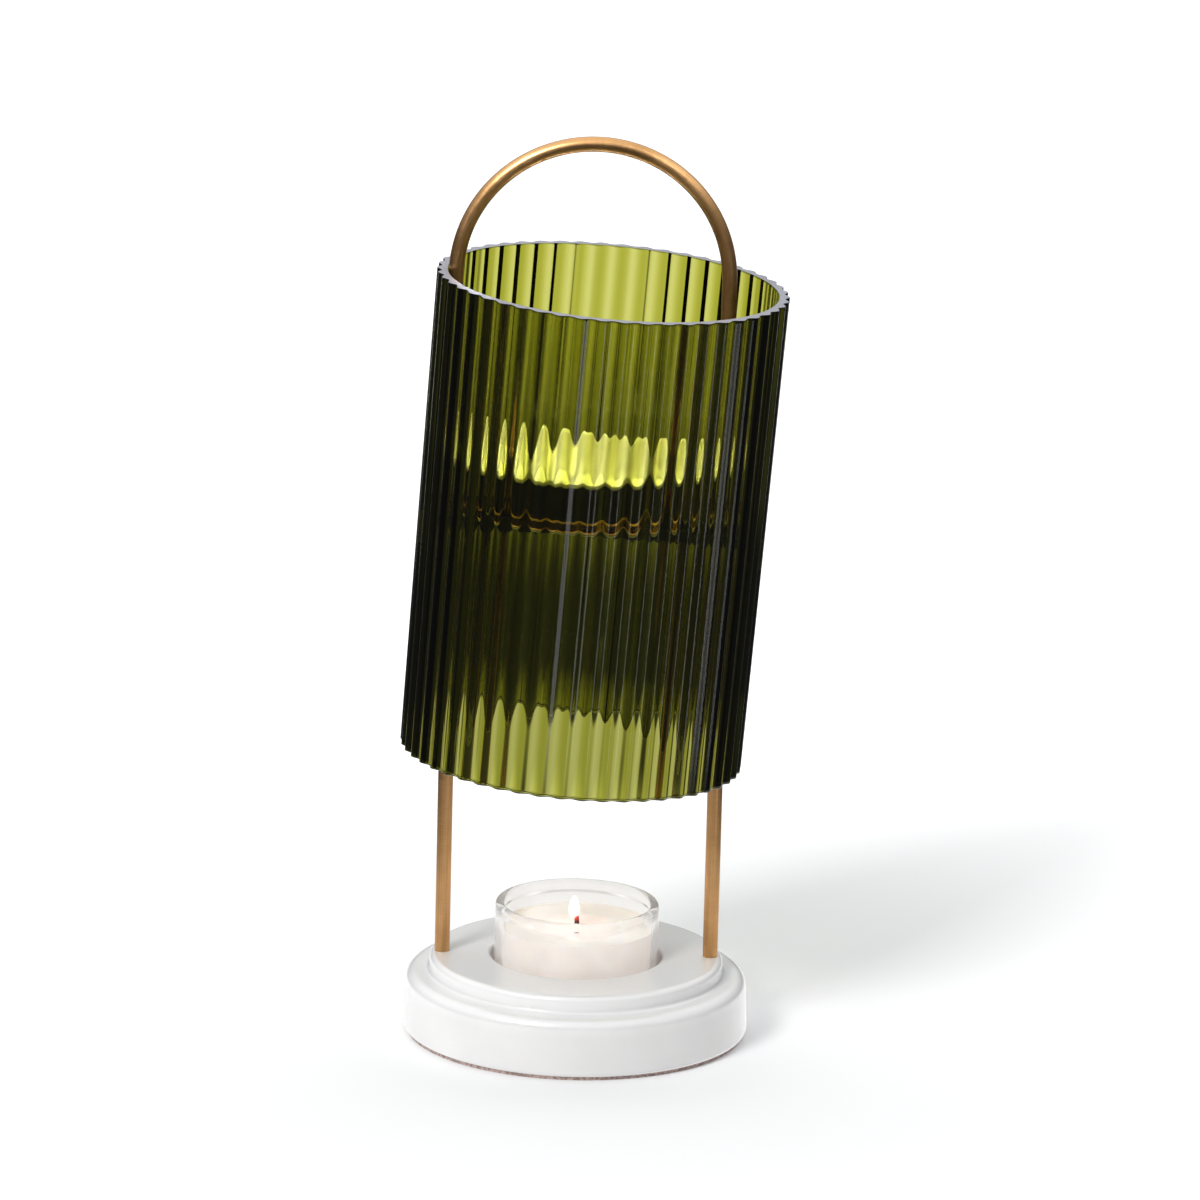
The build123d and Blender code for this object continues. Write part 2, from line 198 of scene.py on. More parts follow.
# a profile (radius, height) from pole to pole, turned about an upright axis:
# x = radius * cos(angle), y = radius * sin(angle), z = height
def lathe(profile, segments):
    profile = np.asarray(profile, float) * mm
    angle = np.linspace(0, tau, segments, endpoint=False)
    body = profile[1:-1]
    columns = len(body)
    points = np.stack([
        np.outer(np.cos(angle), body[:, 0]),
        np.outer(np.sin(angle), body[:, 0]),
        np.tile(body[:, 1], (segments, 1)),
    ], 2).reshape(-1, 3)
    low, high = len(points), len(points) + 1
    points = np.concatenate([points, [[0, 0, profile[0, 1]], [0, 0, profile[-1, 1]]]])
    i = np.arange(segments)
    iNext = (i + 1) % segments
    end = columns - 1
    faces = gridFaces(segments, columns, True, False).tolist()
    faces += np.stack([np.full(segments, low), iNext * columns, i * columns], 1).tolist()
    faces += np.stack([np.full(segments, high), i * columns + end, iNext * columns + end], 1).tolist()
    return points, faces


# a circle carried along a path in the XZ plane: at each step it stands square to the path; ends are closed
def tube(path, radius, sides):
    ahead = np.gradient(path, axis=0)
    ahead /= np.linalg.norm(ahead, axis=1)[:, None]
    across = np.tile([0.0, 1.0, 0.0], (len(path), 1))
    other = np.cross(ahead, across)
    angle = np.linspace(0, tau, sides, endpoint=False)
    ring = np.cos(angle)[None, :, None] * other[:, None] + np.sin(angle)[None, :, None] * across[:, None]
    points = path[:, None] + radius * ring
    along = np.concatenate([[0], np.cumsum(np.linalg.norm(np.diff(path, axis=0), axis=1))])
    uv = np.stack(np.broadcast_arrays(along[:, None], angle[None] / tau), 2)
    faces = gridFaces(len(path), sides, False, True).tolist()
    faces.append(list(range(sides)))
    faces.append([(len(path) - 1) * sides + k for k in range(sides)][::-1])
    return points.reshape(-1, 3), faces, uv.reshape(-1, 2)


# levels of the CAD nodes, in millimetres

def top(node):
    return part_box(node)[1][2] / mm


def bottom(node):
    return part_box(node)[0][2] / mm


# green reeded glass: what it absorbs in each metre, and its ground ends
greenGlass = {
    "perMetre": (350.0, 343.0, 1040.0), "ior": 1.5, "rippleScale": 90.0, "rippleStretch": 0.25, "waviness": 0.00002,
    "rimColour": (0.50, 0.50, 0.56, 1), "rimShare": 0.75, "rimDepth": 0.12, "rimGrain": 2500.0,
    "rimRoughness": (0.25, 0.45), "rimBump": 0.00001,
}
# the glass tube about its own axis, which stands pivotOffset aside of the pivot; heights are from the pivot
shade = {
    "leanDegrees": 3.688, "reeds": 50, "reedDepth": 1.22, "wall": 3.1, "topRadius": 50.88, "bottomRadius": 49.78,
    "above": 72.76, "below": 68.44, "pivotOffset": 1.343, "stepsPerReed": 22, "rimRound": 0.18, "nearRim": 0.8,
    "sharpAngle": 32.0,
}
lean = np.radians(shade["leanDegrees"])
pivot = [j for j in frame["joints"] if j["name"] == "shade_tilt"][0]["pos_m"]


# clear dyed glass, with ground faces at both ends that scatter a little light
def makeGreenGlass():
    look, tree = material("greenReededGlass")
    ripple = tree.noise(tree.stretched(tree.at(), (1.0, 1.0, greenGlass["rippleStretch"])), greenGlass["rippleScale"])
    glass = tree.principled({
        "Base Color": grey(1), "Roughness": 0.0, "IOR": greenGlass["ior"], "Transmission Weight": 1.0,
        "Normal": tree.bump(ripple, greenGlass["waviness"]),
    })
    grain = tree.noise(tree.at(), greenGlass["rimGrain"])
    ground = tree.principled({
        "Base Color": greenGlass["rimColour"], "Roughness": grain.ramp(0.3, 0.7, *greenGlass["rimRoughness"]),
        "Normal": tree.bump(grain, greenGlass["rimBump"]),
    })
    # how far a point is up the glass from the pivot, along the leaning axis
    x, y, z = tree.parts(tree.at())
    along = (x - pivot[0]) * float(np.sin(lean)) + (z - pivot[2]) * float(np.cos(lean))
    edge = greenGlass["rimDepth"] * mm
    atTop = along.ramp(shade["above"] * mm - edge, shade["above"] * mm - 0.3 * edge)
    atBottom = along.ramp(-shade["below"] * mm + 0.3 * edge, -shade["below"] * mm + edge, 1.0, 0.0)
    share = (atTop + atBottom) * greenGlass["rimShare"]
    # absorbed per metre is density * (1 - colour)
    density = max(greenGlass["perMetre"])
    tint = tuple(1 - loss / density for loss in greenGlass["perMetre"]) + (1,)
    dye = tree.add("ShaderNodeVolumeAbsorption", None, {"Color": tint, "Density": density})
    mixed = tree.add("ShaderNodeMixShader", None, {0: share, 1: glass, 2: ground})
    tree.joinTo("ShaderNodeOutputMaterial", Surface=mixed, Volume=dye)
    return look


# into the leaning frame of the glass: shift to the pivot, turn about Y, then up to the hinge
def leaning(points):
    c, s = np.cos(lean), np.sin(lean)
    x = points[:, 0] + shade["pivotOffset"] * mm
    z = points[:, 2]
    return np.stack([pivot[0] + c * x + s * z, points[:, 1], pivot[2] - s * x + c * z], 1)


# outside radius = crest - depth * (1 - cos(reeds * angle)) / 2; inside is plain; both ends are ground flat
def makeGlassShade():
    count = shade["reeds"] * shade["stepsPerReed"]
    angle = np.arange(count) / count * tau
    wave = (1 - np.cos(shade["reeds"] * angle)) / 2 * shade["reedDepth"]
    length = shade["above"] + shade["below"]
    bend = np.array([(0, 1), (0.3, 0.3), (1, 0), (2, 0)]) * shade["rimRound"]

    # share is 0 at the bottom and 1 at the top; outer or inner wall, moved in and along the axis
    def row(share, outer, inset=0.0, lift=0.0):
        crest = shade["bottomRadius"] + (shade["topRadius"] - shade["bottomRadius"]) * share
        radius = crest - wave - inset if outer else np.full(count, crest - shade["wall"] + inset)
        return radius, length * share - shade["below"] + lift

    near = shade["nearRim"] / length
    sides = [near, 0.25, 0.5, 0.75, 1 - near]
    rows = [row(share, True) for share in sides]
    rows += [row(1.0, True, inset, -drop) for inset, drop in bend]
    rows += [row(1.0, False, inset, -drop) for inset, drop in bend[::-1]]
    rows += [row(share, False) for share in sides[::-1]]
    rows += [row(0.0, False, inset, rise) for inset, rise in bend]
    rows += [row(0.0, True, inset, rise) for inset, rise in bend[::-1]]
    radius = np.stack([r for r, z in rows], 1)
    height = np.array([z for r, z in rows])
    across, depth = radius * np.cos(angle)[:, None], radius * np.sin(angle)[:, None]
    points = leaning(np.stack([across, depth, np.broadcast_to(height, radius.shape)], 2).reshape(-1, 3) * mm)
    faces = gridFaces(count, len(rows), True, True).tolist()
    look = makeGreenGlass()
    meshPiece("glassShade", points, faces, look, "shade", ["glass_shade"], shade["sharpAngle"])


brass = {
    "light": (0.70, 0.40, 0.18, 1), "dark": (0.43, 0.23, 0.085, 1), "roughness": 0.33, "polished": 0.13,
    "streaks": (14.0, 60.0, 1.0), "brushed": (2600.0, 3.0, 1.0), "turned": (60.0, 60.0, 4000.0),
    "blotches": 180.0, "patina": 55.0, "bump": 0.00001,
}


# lengthwise: streaks along the piece's own UV and fine lines across it, as on the rod;
# otherwise blotches and fine rings about the upright axis, as on turned pieces
def makeBrass(name, roughness, lengthwise):
    look, tree = material(name)
    if lengthwise:
        where = tree.at("UV")
        along = tree.noise(tree.stretched(where, brass["streaks"]), 1.0, 4.0, 0.6)
        across = tree.noise(tree.stretched(where, brass["brushed"]), 1.0, 3.0, 0.6)
    else:
        along = tree.noise(tree.at(), brass["blotches"], 4.0, 0.6)
        across = tree.noise(tree.stretched(tree.at(), brass["turned"]), 1.0, 3.0, 0.6)
    patina = tree.noise(tree.at(), brass["patina"], 4.0, 0.6)
    share = (patina * 0.4 + along * 0.45 + across * 0.15).ramp(0.3, 0.68)
    metal = tree.principled({
        "Base Color": share.blend(brass["dark"], brass["light"]), "Metallic": 1.0,
        "Roughness": across.ramp(0.3, 0.7, roughness * 0.85, roughness * 1.15),
        "Normal": tree.bump(across * 0.3 + along, brass["bump"]),
    })
    tree.joinTo("ShaderNodeOutputMaterial", Surface=metal)
    return look


hoop = {
    "rodRadius": 2.2, "legOffset": 39.3, "springHeight": 225.9, "sides": 40, "archSteps": 96, "legSteps": 40,
    "sharpAngle": 50.0,
}


# legs are straight and the arch is half a circle between them
def makeHoop():
    rise = np.linspace(bottom("hoop"), hoop["springHeight"], hoop["legSteps"])
    arch = np.linspace(np.pi, 0, hoop["archSteps"])[1:-1]
    side = np.full(len(rise), hoop["legOffset"])
    x = np.concatenate([-side, hoop["legOffset"] * np.cos(arch), side])
    z = np.concatenate([rise, hoop["springHeight"] + hoop["legOffset"] * np.sin(arch), rise[::-1]])
    path = np.stack([x, np.zeros(len(x)), z], 1) * mm
    points, faces, uv = tube(path, hoop["rodRadius"] * mm, hoop["sides"])
    look = makeBrass("brushedBrass", brass["roughness"], True)
    meshPiece("brassHoop", points, faces, look, "stand", ["hoop"], hoop["sharpAngle"], uv)


# the paler colour for the base's top is painted light: it stands in for light that the glass above would otherwise
# keep off the top
glaze = {
    "colour": (0.79, 0.78, 0.775, 1), "shade": (0.755, 0.745, 0.74, 1), "paintedLitTop": (0.88, 0.875, 0.87, 1),
    "outside": (0.022, 0.018, 0.014, 1), "roughness": 0.3, "coatRoughness": 0.05, "coatIor": 1.5,
    "cloud": 45.0, "peel": 420.0, "bump": 0.00003, "paintedLitTopFrom": 12.0, "paintedLitTopTo": 20.0,
    "wallEdge": 0.2, "levelEdge": 0.5, "lipScale": 220.0, "lipWander": 0.0003,
}


# glossy glaze with a faint orange peel; on the base, painted light turns the glaze paler above a given height, so the
# top reads lighter than the side;
# a dish is dark outside of the radius wallMiddle and below floorLevel, but not on its lip
def makeGlaze(name, wallMiddle=None, floorLevel=0.0, lipLevel=0.0):
    look, tree = material(name)
    where = tree.at()
    x, y, z = tree.parts(where)
    cloud = tree.noise(where, glaze["cloud"], 3.0)
    colour = cloud.ramp(0.35, 0.7).blend(glaze["colour"], glaze["shade"])
    if wallMiddle:
        out = (x * x + y * y) ** 0.5
        lip = z + tree.noise(where, glaze["lipScale"]) * glaze["lipWander"]
        aside = out.ramp((wallMiddle - glaze["wallEdge"]) * mm, (wallMiddle + glaze["wallEdge"]) * mm)
        under = z.ramp((floorLevel - glaze["levelEdge"]) * mm, floorLevel * mm, 1.0, 0.0)
        belowLip = lip.ramp((lipLevel - glaze["levelEdge"]) * mm, lipLevel * mm, 1.0, 0.0)
        colour = ((aside + under).ramp(0.0, 1.0) * belowLip).blend(colour, glaze["outside"])
    else:
        # painted light: above this height the base's glaze turns paler, so the top reads lighter than the side
        colour = z.ramp(glaze["paintedLitTopFrom"] * mm, glaze["paintedLitTopTo"] * mm).blend(colour, glaze["paintedLitTop"])
    peel = tree.noise(where, glaze["peel"])
    clay = tree.principled({
        "Base Color": colour, "Roughness": glaze["roughness"], "Coat Weight": 1.0,
        "Coat Roughness": glaze["coatRoughness"], "Coat IOR": glaze["coatIor"],
        "Normal": tree.bump(peel + cloud * 4.0, glaze["bump"]),
    })
    tree.joinTo("ShaderNodeOutputMaterial", Surface=clay)
    return look


base = {
    "radius": 50.6, "draft": 0.8, "step": 18.0, "raisedRadius": 43.0, "shoulder": 3.2, "crown": 1.8, "foot": 1.4,
    "inner": 1.0, "wellRadius": 25.1, "wellLip": 0.9, "wellFloor": 12.1, "wellCorner": 1.5, "segments": 192,
}


# turned from a profile with rounded corners: side, step, raised middle and well
def makeBase():
    low, high = bottom("base"), top("base")
    corners = [
        (0, low), (base["radius"], low), (base["radius"] - base["draft"], base["step"]),
        (base["raisedRadius"], base["step"]), (base["raisedRadius"], high),
        (base["wellRadius"], high), (base["wellRadius"], base["wellFloor"]), (0, base["wellFloor"]),
    ]
    rounds = {
        1: base["foot"], 2: base["shoulder"], 3: base["inner"], 4: base["crown"], 5: base["wellLip"],
        6: base["wellCorner"],
    }
    points, faces = lathe(rounded(corners, rounds), base["segments"])
    meshPiece("ceramicBase", points, faces, makeGlaze("whiteGlaze"), "stand", ["base"])


dish = {
    "rimRadius": 32.5, "sideRadius": 31.6, "sideHeight": 10.9, "spigotRadius": 29.8, "spigotRound": 3.0, "wall": 2.4,
    "seat": 161.6, "depth": 11.0, "floorRound": 4.0, "footRadius": 25.2, "footDepth": 1.7, "lip": 0.9,
    "darkBelowFloor": 0.1, "darkBelowLip": 0.3, "segments": 160,
}


# turned from a profile with rounded corners: hollowed foot, spigot, flared side, lip and floor
def makeDish():
    low, high = bottom("wax_dish"), dish["seat"] + dish["sideHeight"]
    floorLevel = high - dish["depth"]
    corners = [
        (0, low + dish["footDepth"]), (dish["footRadius"], low + dish["footDepth"]), (dish["footRadius"], low),
        (dish["spigotRadius"], low), (dish["spigotRadius"], dish["seat"]), (dish["sideRadius"], dish["seat"]),
        (dish["rimRadius"], high), (dish["rimRadius"] - dish["wall"], high),
        (dish["sideRadius"] - dish["wall"], floorLevel), (0, floorLevel),
    ]
    rounds = {3: dish["spigotRound"], 6: dish["lip"], 7: dish["lip"], 8: dish["floorRound"]}
    points, faces = lathe(rounded(corners, rounds), dish["segments"])
    middle = (dish["sideRadius"] + dish["rimRadius"] - dish["wall"]) / 2
    look = makeGlaze("twoToneGlaze", middle, floorLevel - dish["darkBelowFloor"], high - dish["darkBelowLip"])
    meshPiece("waxDish", points, faces, look, "dish", ["wax_dish"])


# hazeShare times its cloud stays under a quarter: above that the denoised cup shows squiggles
clearGlass = {
    "colour": (0.99, 0.985, 0.98, 1), "ior": 1.17, "haze": (0.95, 0.94, 0.935, 1),
    "paintedCandleGlow": (0.09, 0.08, 0.075, 1), "hazeShare": 0.215, "hazeRoughness": 0.3, "hazeCloud": 90.0,
    "bumpScale": 110.0, "bump": 0.00003,
}


# clear moulded glass with a thin bloom from use; the bloom carries a painted glow that stands in for candle light
def makeClearGlass():
    look, tree = material("clearCupGlass")
    glass = tree.principled({
        "Base Color": clearGlass["colour"], "Roughness": 0.0, "IOR": clearGlass["ior"], "Transmission Weight": 1.0,
    })
    haze = tree.principled({
        "Base Color": clearGlass["haze"], "Roughness": clearGlass["hazeRoughness"],
        "Normal": tree.bump(tree.noise(tree.at(), clearGlass["bumpScale"], 1.0), clearGlass["bump"]),
        # painted glow: emission on the bloom stands in for candle light
        "Emission Color": clearGlass["paintedCandleGlow"], "Emission Strength": 1.0,
    })
    cloud = tree.noise(tree.at(), clearGlass["hazeCloud"]).ramp(0.3, 0.7, 0.9, 1.1)
    mixed = tree.add("ShaderNodeMixShader", None, {0: cloud * clearGlass["hazeShare"], 1: glass, 2: haze})
    tree.joinTo("ShaderNodeOutputMaterial", Surface=mixed)
    return look


cup = {
    "radius": 24.0, "wall": 2.0, "floor": 3.0, "corner": 3.0, "bead": 1.35, "beadRound": 1.3, "beadInner": 0.8,
    "beadUnder": 1.0, "segments": 160,
}


# turned from a profile with rounded corners: side, thick rim and floor
def makeCup():
    low, high = bottom("tealight_cup"), top("tealight_cup")
    bead = 2 * cup["bead"]
    corners = [
        (0, low), (cup["radius"], low), (cup["radius"], high), (cup["radius"] - bead, high),
        (cup["radius"] - bead, high - bead), (cup["radius"] - cup["wall"], high - bead - cup["bead"]),
        (cup["radius"] - cup["wall"], low + cup["floor"]), (0, low + cup["floor"]),
    ]
    rounds = {
        1: cup["corner"], 2: cup["beadRound"], 3: cup["beadRound"], 4: cup["beadInner"], 5: cup["beadUnder"],
        6: cup["corner"] / 2,
    }
    points, faces = lathe(rounded(corners, rounds), cup["segments"])
    meshPiece("glassCup", points, faces, makeClearGlass(), "tealight", ["tealight_cup"])


# lit and through are painted glow colours: emission standing in for candle light within the wax
wax = {
    "gap": 0.05, "meniscus": 0.6, "pale": (0.93, 0.91, 0.89, 1), "shade": (0.88, 0.83, 0.79, 1),
    "lit": (0.44, 0.25, 0.205, 1), "through": (0.27, 0.225, 0.195, 1), "glowReach": 16.0, "glowDepth": 9.0,
    "melted": 11.0, "setFrom": 15.0, "meltedRoughness": 0.12, "setRoughness": 0.45, "cloud": 120.0, "bump": 0.00002,
    "scatter": 0.4, "scatterDepth": 0.004, "scatterColour": (1.0, 0.7, 0.5),
}


# candle wax with a painted glow: its emission colour stands in for candle light, faint all through the wax and
# stronger round the flame; glossy where it has melted
def makeWax():
    look, tree = material("candleWax")
    where = tree.at()
    x, y, z = tree.parts(where)
    out = (x * x + y * y) ** 0.5
    # painted glow: strongest near the wick and near the top of the wax
    near = out.ramp(0.0, wax["glowReach"] * mm, 1.0, 0.0)
    high = z.ramp((top("candle_wax") - wax["glowDepth"]) * mm, top("candle_wax") * mm)
    cloud = tree.noise(where, wax["cloud"], 3.0)
    body = tree.principled({
        "Base Color": cloud.ramp(0.3, 0.7).blend(wax["pale"], wax["shade"]),
        "Roughness": out.ramp(wax["melted"] * mm, wax["setFrom"] * mm, wax["meltedRoughness"], wax["setRoughness"]),
        "Subsurface Weight": wax["scatter"], "Subsurface Scale": wax["scatterDepth"],
        "Subsurface Radius": wax["scatterColour"], "Normal": tree.bump(cloud, wax["bump"]),
        "Emission Color": (near * high).blend(wax["through"], wax["lit"]), "Emission Strength": 1.0,
    })
    tree.joinTo("ShaderNodeOutputMaterial", Surface=body)
    return look


# turned from a profile that climbs a little at the glass
def makeCandle():
    low = bottom("candle_wax")
    high = top("candle_wax") - wax["meniscus"]
    outer = cup["radius"] - cup["wall"] - wax["gap"]
    corners = [
        (0, low), (outer, low), (outer, high + wax["meniscus"]), (outer - 2 * wax["meniscus"], high), (0, high),
    ]
    points, faces = lathe(rounded(corners, {1: cup["corner"] / 2, 3: wax["meniscus"]}), cup["segments"])
    meshPiece("candleWax", points, faces, makeWax(), "tealight", ["candle_wax"])


flame = {
    "foot": 33.6, "tip": 40.7, "radius": 1.85, "fullness": 1.84, "forward": -0.9, "sides": 32, "steps": 40,
    "low": (1.0, 0.78, 0.66, 1), "high": (1.0, 0.98, 0.95, 1), "strength": 6.0, "clearTo": 36.0, "clearOver": 1.6,
    "clearest": 0.1,
}


# clear at the foot, where the wick shows through it, and nearly white above
def makeFlameLook():
    look, tree = material("flameGlow")
    x, y, z = tree.parts(tree.at())
    glow = tree.principled({
        "Base Color": (0, 0, 0, 1), "Emission Strength": flame["strength"],
        "Emission Color": z.ramp(flame["foot"] * mm, flame["tip"] * mm).blend(flame["low"], flame["high"]),
        "Alpha": z.ramp((flame["clearTo"] - flame["clearOver"]) * mm, flame["clearTo"] * mm, flame["clearest"], 1.0),
    })
    tree.joinTo("ShaderNodeOutputMaterial", Surface=glow)
    return look


# radius rises fast from the foot and falls slowly to the tip: radius * fullness * sqrt(t) * (1 - t) ** 0.75
def makeFlame():
    t = np.linspace(0, 1, flame["steps"])
    radius = flame["radius"] * flame["fullness"] * np.sqrt(t) * (1 - t) ** 0.75
    height = flame["foot"] + (flame["tip"] - flame["foot"]) * t
    points, faces = lathe(np.stack([radius, height], 1), flame["sides"])
    points[:, 0] += flame["forward"] * mm
    meshPiece("flame", points, faces, makeFlameLook(), "tealight")


wick = {
    "soot": (0.03, 0.012, 0.012, 1), "char": (0.07, 0.03, 0.03, 1), "ember": (0.72, 0.035, 0.02, 1),
    "hotFrom": 2.2, "hotTo": 1.0, "roughness": 0.85, "grain": 3000.0, "grainStretch": 0.3, "wander": 0.0004,
    "bump": 0.0001,
}


# black at the foot and red hot at the tip
def makeWickLook():
    look, tree = material("burningWick")
    x, y, z = tree.parts(tree.at())
    grain = tree.noise(tree.stretched(tree.at(), (1.0, 1.0, wick["grainStretch"])), wick["grain"], 3.0)
    hot = (z + grain * wick["wander"]).ramp((top("wick") - wick["hotFrom"]) * mm, (top("wick") - wick["hotTo"]) * mm)
    body = tree.principled({
        "Base Color": grain.ramp(0.3, 0.7).blend(wick["soot"], wick["char"]), "Roughness": wick["roughness"],
        "Emission Color": hot.blend((0.0, 0.0, 0.0, 1), wick["ember"]), "Emission Strength": 1.0,
        "Normal": tree.bump(grain, wick["bump"]),
    })
    tree.joinTo("ShaderNodeOutputMaterial", Surface=body)
    return look


# finishes of the pieces that keep the CAD's own shape, with fine specks of their own scale
plain = {"metallic": 0.0, "grain": 300.0, "depth": 0.00003, "change": 0.25, "roughnessChange": 0.06}
plainFinishes = {
    "platedSteel": {"colour": (0.62, 0.62, 0.60, 1), "roughness": 0.25, "metallic": 1.0},
    "blackHeatCoat": {"colour": (0.035, 0.033, 0.03, 1), "roughness": 0.5},
    "blackRubber": {"colour": (0.03, 0.03, 0.03, 1), "roughness": 0.7},
    "silicone": {"colour": (0.7, 0.7, 0.66, 1), "roughness": 0.5},
    "nylon": {"colour": (0.75, 0.74, 0.7, 1), "roughness": 0.45},
    "feltPad": {"colour": (0.58, 0.44, 0.40, 1), "roughness": 0.9, "grain": 900.0, "depth": 0.0001, "change": 0.5},
    "tinFoot": {"colour": (0.7, 0.7, 0.72, 1), "roughness": 0.3, "metallic": 1.0},
}


def makePlain(name):
    look, tree = material(name)
    spec = {**plain, **plainFinishes[name]}
    specks = tree.noise(tree.at(), spec["grain"], 3.0)
    darker = tuple(c * (1 - spec["change"]) for c in spec["colour"][:3]) + (1,)
    least, most = spec["roughness"] - spec["roughnessChange"], spec["roughness"] + spec["roughnessChange"]
    body = tree.principled({
        "Base Color": specks.ramp(0.35, 0.65).blend(darker, spec["colour"]), "Metallic": spec["metallic"],
        "Roughness": specks.ramp(0.3, 0.7, least, most), "Normal": tree.bump(specks, spec["depth"]),
    })
    tree.joinTo("ShaderNodeOutputMaterial", Surface=body)
    return look


finishOf = {
    "dish_ring": "turnedBrass", "leg_collar_left": "turnedBrass", "leg_collar_right": "turnedBrass",
    "leg_screws": "platedSteel", "leg_washers": "platedSteel", "bar_screws": "platedSteel",
    "pivot_clip": "platedSteel", "cross_bar": "blackHeatCoat", "pivot_pin": "blackHeatCoat",
    "shade_carrier": "blackHeatCoat", "leg_gaskets": "blackRubber", "shade_pad_left": "silicone",
    "shade_pad_right": "silicone", "pivot_washers": "nylon", "base_pad": "feltPad", "wick_tab": "tinFoot",
    "wick": "burningWick",
}


def dressCad():
    looks = {"turnedBrass": makeBrass("turnedBrass", brass["polished"], False)}
    looks.update({name: makePlain(name) for name in plainFinishes})
    looks["burningWick"] = makeWickLook()
    for node, finish in finishOf.items():
        mesh = frame["nodes"][node].data
        mesh.materials.clear()
        mesh.materials.append(looks[finish])


dressCad()
print("CAD pieces dressed")
makeBase()
makeHoop()
makeDish()
makeGlassShade()
makeCup()
makeCandle()
makeFlame()
print("pieces made")

# the world's levels are ramps: from one height to another, 0 at the horizon and 1 overhead, then both levels;
# pools run from one distance to another, within an angle of half about the direction towards, counted in
# degrees from the back
studio = {
    "ambient": (0.0, 0.9, 0.04, 0.28), "overhead": (0.65, 0.95, 0.0, 0.8), "ceiling": (0.1, 0.8, 0.12, 1.5),
    "room": (0.2, 0.9, 0.08, 0.30), "backSide": (0.1, 0.6), "backFoot": (0.0, 0.25),
    "backHead": (0.6, 0.8, 1.0, 0.0), "fromBehind": 1.8,
    "skyColour": (0.97, 0.985, 1.0, 1), "floorColour": 0.92, "floorSide": 6.0, "dim": 0.075, "angleEdge": 4,
    "glow": (0.02, 0.30), "glowReach": (0.12, 0.34), "bounces": 24, "glossyBounces": 8,
    "pools": {
        "close": {"towards": 0, "half": 200, "from": -0.1, "to": 0.22, "soft": 0.05, "level": 0.95},
        "near": {"towards": 1, "half": 23, "from": 0.22, "to": 0.362, "soft": 0.008, "level": 0.76},
        "middle": {"towards": 3, "half": 26, "from": 0.58, "to": 0.79, "soft": 0.06, "level": 0.62},
        "sweep": {"towards": 3, "half": 26, "from": 0.79, "to": 9.0, "soft": 0.06, "level": 1.28},
        "rightFront": {"towards": 141, "half": 6, "from": 0.3, "to": 0.9, "soft": 0.05, "level": 1.5},
    },
    "lights": {
        "keyLight": {
            "at": (-2.1, -2.95, 2.9), "aim": (0, 0, 0.12), "width": 1.3, "height": 1.3, "power": 122.0, "spread": 180,
        },
        "dishLight": {
            "at": (0.0, -0.353, 0.75), "aim": (0, 0.03, 0.172), "width": 0.05, "height": 0.02, "power": 0.85,
            "spread": 3,
        },
    },
}


# how bright glass and metal see the floor: the dim floor and the pools of light on it
def floorPools(tree, x, y, out):
    level = studio["dim"]
    for pool in studio["pools"].values():
        towards, half, soft = np.radians(pool["towards"]), pool["half"], pool["soft"]
        reach = out.ramp(pool["from"] - soft, pool["from"] + soft)
        reach = reach * out.ramp(pool["to"] - soft, pool["to"] + soft, 1.0, 0.0)
        if half < 180:
            aligned = (x * float(np.sin(towards)) + y * float(np.cos(towards))) / out
            outer, inner = np.cos(np.radians([half + studio["angleEdge"], half - studio["angleEdge"]]))
            reach = reach * aligned.ramp(float(outer), float(inner))
        level = reach * pool["level"] + level
    return level


# a plain pale floor to the camera and to diffuse light; glass and metal see its pools of light
def makeFloor():
    look, tree = material("paleFloor")
    seen = tree.add("ShaderNodeLightPath", output="Is Camera Ray")
    scattered = tree.add("ShaderNodeLightPath", output="Is Diffuse Ray")
    x, y, z = tree.parts(tree.at())
    out = (x * x + y * y) ** 0.5
    pools = tree.add("ShaderNodeEmission", None, {"Color": grey(1), "Strength": floorPools(tree, x, y, out)})
    diffuse = tree.add("ShaderNodeBsdfDiffuse", None, {"Color": grey(studio["floorColour"])})
    away = out.ramp(*studio["glowReach"], *studio["glow"])
    glow = tree.add("ShaderNodeEmission", None, {"Color": grey(1), "Strength": seen * away})
    pale = tree.add("ShaderNodeAddShader", None, {0: diffuse, 1: glow})
    mixed = tree.add("ShaderNodeMixShader", None, {0: seen + scattered, 1: pools, 2: pale})
    tree.joinTo("ShaderNodeOutputMaterial", Surface=mixed)
    mesh = bpy.data.meshes.new("floor")
    side = studio["floorSide"]
    mesh.from_pydata([(-side, -side, 0), (side, -side, 0), (side, side, 0), (-side, side, 0)], [], [(0, 1, 2, 3)])
    mesh.materials.append(look)
    floor = bpy.data.objects.new("floor", mesh)
    bpy.context.scene.collection.objects.link(floor)


# white to the camera; to diffuse light soft, with more from overhead and from behind;
# a bright ceiling to metal and glaze, and a dim room through glass
def makeWorld():
    world = bpy.data.worlds.new("studioRoom")
    bpy.context.scene.world = world
    tree = Tree(world)
    kinds = ("Camera", "Diffuse", "Glossy", "Transmission")
    ray = {kind: tree.add("ShaderNodeLightPath", output=f"Is {kind} Ray") for kind in kinds}
    x, y, z = tree.parts(tree.at("Generated"))
    behind = y.ramp(*studio["backSide"]) * z.ramp(*studio["backFoot"]) * z.ramp(*studio["backHead"])
    soft = z.ramp(*studio["ambient"]) + z.ramp(*studio["overhead"]) + behind * studio["fromBehind"]
    level = ray["Camera"] + ray["Diffuse"] * soft
    level = level + ray["Glossy"] * z.ramp(*studio["ceiling"]) + ray["Transmission"] * z.ramp(*studio["room"])
    sky = tree.add("ShaderNodeBackground", None, {"Color": studio["skyColour"], "Strength": level})
    tree.joinTo("ShaderNodeOutputWorld", Surface=sky)


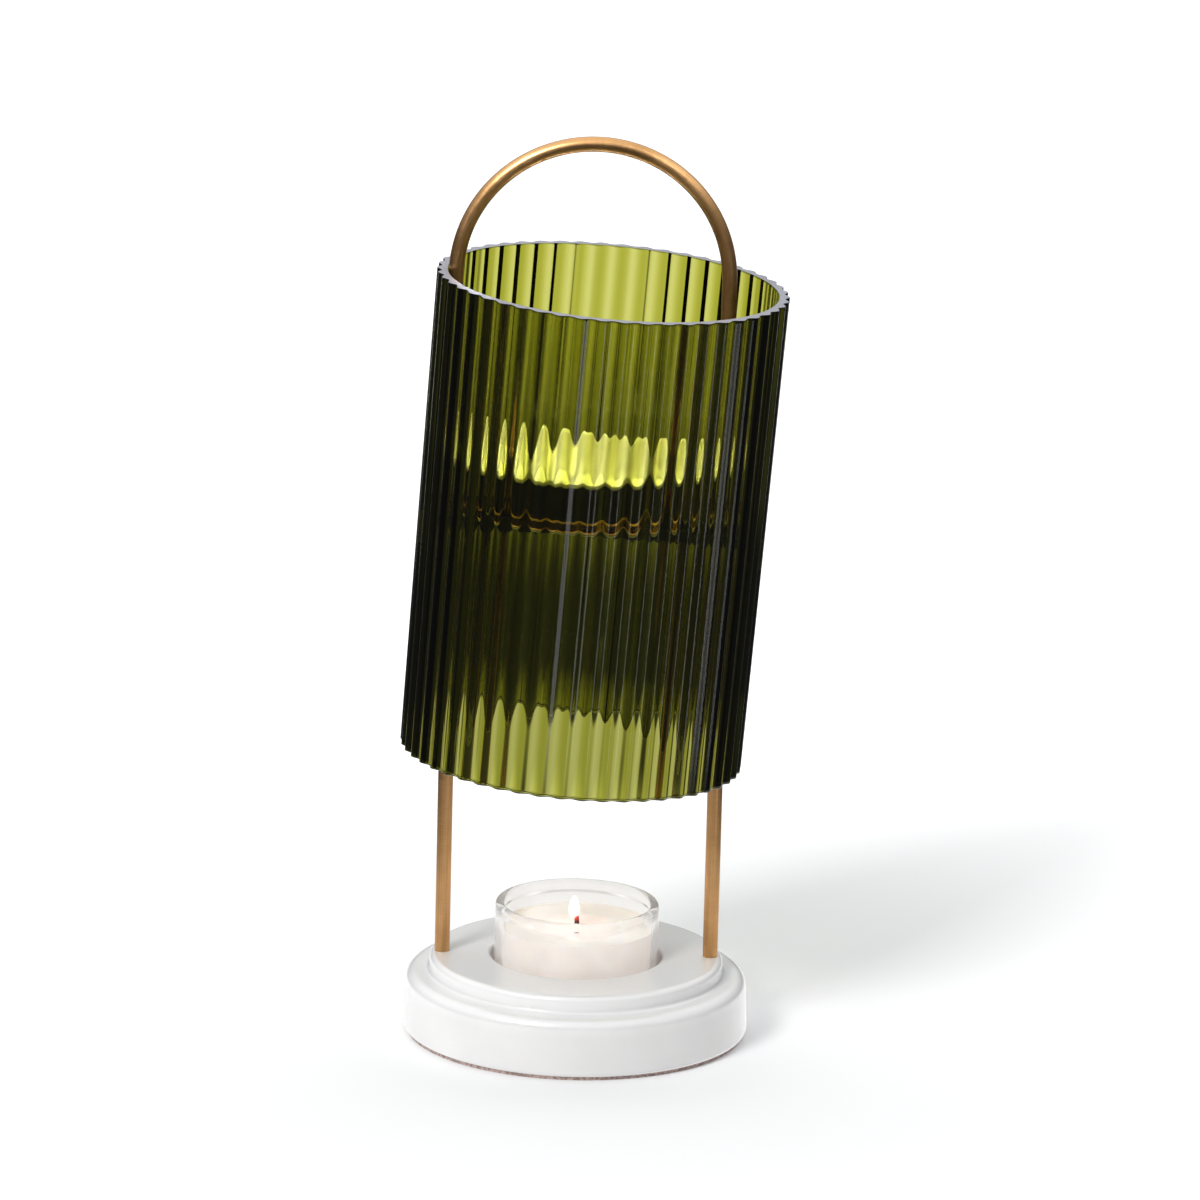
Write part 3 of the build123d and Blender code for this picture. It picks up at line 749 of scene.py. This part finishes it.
def makeLight(name, spec):
    lamp = bpy.data.lights.new(name, "AREA")
    lamp.shape, lamp.size, lamp.size_y = "RECTANGLE", spec["width"], spec["height"]
    lamp.energy, lamp.spread = spec["power"], np.radians(spec["spread"])
    # a lamp met by chance through glass leaves bright specks
    lamp.cycles.use_multiple_importance_sampling = False
    holder = bpy.data.objects.new(name, lamp)
    holder.location = spec["at"]
    holder.rotation_euler = (Vector(spec["aim"]) - Vector(spec["at"])).to_track_quat("-Z", "Y").to_euler()
    bpy.context.scene.collection.objects.link(holder)


# a long lens, seen from slightly above, the whole camera rolled a little as in the photograph;
# perPixel is millimetres to a pixel of the 1200 pixel picture, and aim is millimetres right and up
view = {
    "azimuth": -0.5, "elevation": 14.95, "roll": 1.46, "distance": 2.5, "perPixel": 0.29, "pixels": 1200,
    "aim": (4.38, 130.36), "sensor": 36.0, "clip": (0.1, 30.0),
}


def makeCamera():
    az, el, roll = np.radians([view["azimuth"], view["elevation"], view["roll"]])
    back = np.array([np.sin(az) * np.cos(el), -np.cos(az) * np.cos(el), np.sin(el)])
    right = np.array([np.cos(az), np.sin(az), 0.0])
    up = np.cross(back, right)
    across = np.cos(roll) * right + np.sin(roll) * up
    upward = np.cos(roll) * up - np.sin(roll) * right
    eye = right * view["aim"][0] * mm + np.array([0, 0, view["aim"][1] * mm]) + back * view["distance"]
    data = bpy.data.cameras.new("camera")
    data.sensor_width = view["sensor"]
    data.lens = view["sensor"] * view["distance"] / (view["pixels"] * view["perPixel"] * mm)
    data.clip_start, data.clip_end = view["clip"]
    camera = bpy.data.objects.new("camera", data)
    turned = np.eye(4)
    turned[:3] = np.stack([across, upward, back, eye], 1)
    camera.matrix_world = Matrix(turned.tolist())
    bpy.context.scene.collection.objects.link(camera)
    bpy.context.scene.camera = camera


makeFloor()
makeWorld()
for name, spec in studio["lights"].items():
    makeLight(name, spec)
makeCamera()
scene = bpy.context.scene
scene.view_settings.view_transform = "Standard"
scene.cycles.max_bounces = scene.cycles.transmission_bounces = studio["bounces"]
scene.cycles.glossy_bounces = studio["glossyBounces"]
print("studio made")
